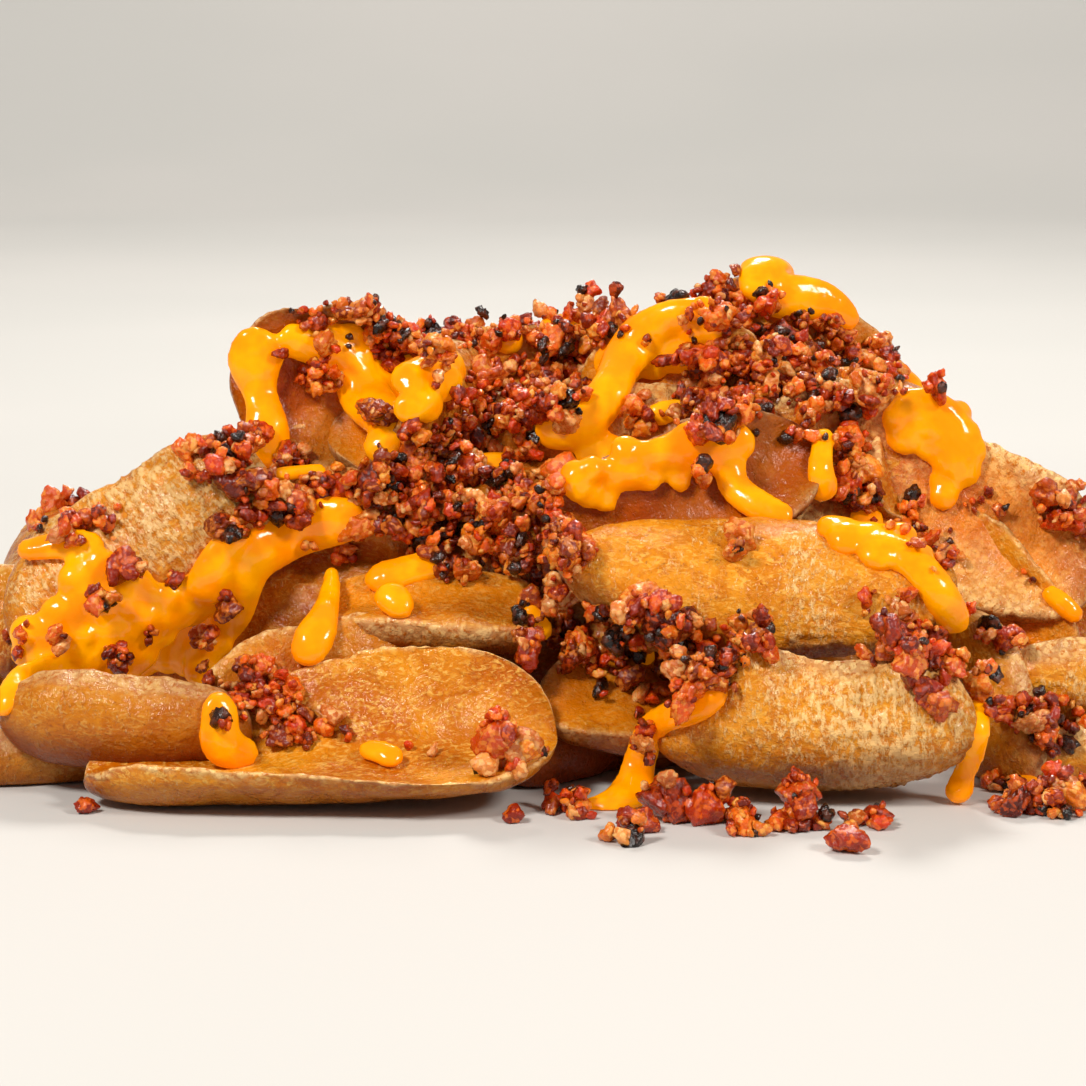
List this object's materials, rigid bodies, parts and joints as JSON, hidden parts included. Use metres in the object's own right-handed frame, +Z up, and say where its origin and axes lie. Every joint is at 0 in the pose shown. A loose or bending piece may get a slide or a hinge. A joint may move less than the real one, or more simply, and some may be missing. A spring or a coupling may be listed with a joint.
{
  "type": "heap of loaded potato wedges",
  "caption": "Heap of baked, skin-on curved potato slices with runs of thick cheese sauce and piles of crisp bacon crumbs, as it lies on a flat surface.",
  "frame": {"origin": "on the surface that the heap stands on, below the middle of the heap", "axes": "+X to the right and +Y to the back of the heap as it is pictured, +Z up"},
  "size_m": [0.2806, 0.2212, 0.096],
  "materials": {
    "potato": "baked potato: golden, smooth and a little oily on the cut face, tan, wrinkled and blistered on the skin, stands in as a matt solid",
    "cheese_sauce": "thick yellow-orange cheese sauce, opaque, smooth and very glossy",
    "bacon": "fried bacon crumbs, red-brown meat, orange-tan fat and some charred bits, with a greasy shine"
  },
  "bodies": {
    "root": {"bacon_01": "bacon", "bacon_02": "bacon", "bacon_03": "bacon", "bacon_04": "bacon", "bacon_05": "bacon", "bacon_06": "bacon", "bacon_07": "bacon", "bacon_08": "bacon", "bacon_09": "bacon", "bacon_10": "bacon", "bacon_11": "bacon", "bacon_12": "bacon", "bacon_13": "bacon", "bacon_14": "bacon", "bacon_15": "bacon", "bacon_16": "bacon", "bacon_17": "bacon", "bacon_18": "bacon", "bacon_19": "bacon", "crumb_1": "bacon", "crumb_2": "bacon", "crumb_3": "bacon", "potato_core": "potato", "sauce_01": "cheese_sauce", "sauce_02": "cheese_sauce", "sauce_03": "cheese_sauce", "sauce_04": "cheese_sauce", "sauce_05": "cheese_sauce", "sauce_06": "cheese_sauce", "sauce_07": "cheese_sauce", "sauce_08": "cheese_sauce", "sauce_09": "cheese_sauce", "sauce_10": "cheese_sauce", "sauce_11": "cheese_sauce", "sauce_12": "cheese_sauce", "sauce_13": "cheese_sauce", "wedge_behind_scoop": "potato", "wedge_big_back": "potato", "wedge_crest_back": "potato", "wedge_crest_middle": "potato", "wedge_crest_scoop": "potato", "wedge_dark_low": "potato", "wedge_front_dish": "potato", "wedge_front_scoop": "potato", "wedge_front_tile": "potato", "wedge_left_boat": "potato", "wedge_left_far": "potato", "wedge_left_low": "potato", "wedge_left_skin": "potato", "wedge_middle_left": "potato", "wedge_middle_scoop": "potato", "wedge_peak": "potato", "wedge_right_edge": "potato", "wedge_right_end": "potato", "wedge_right_low": "potato", "wedge_right_post": "potato", "wedge_right_scoop": "potato", "wedge_under_right": "potato"}
  },
  "joints": []
}
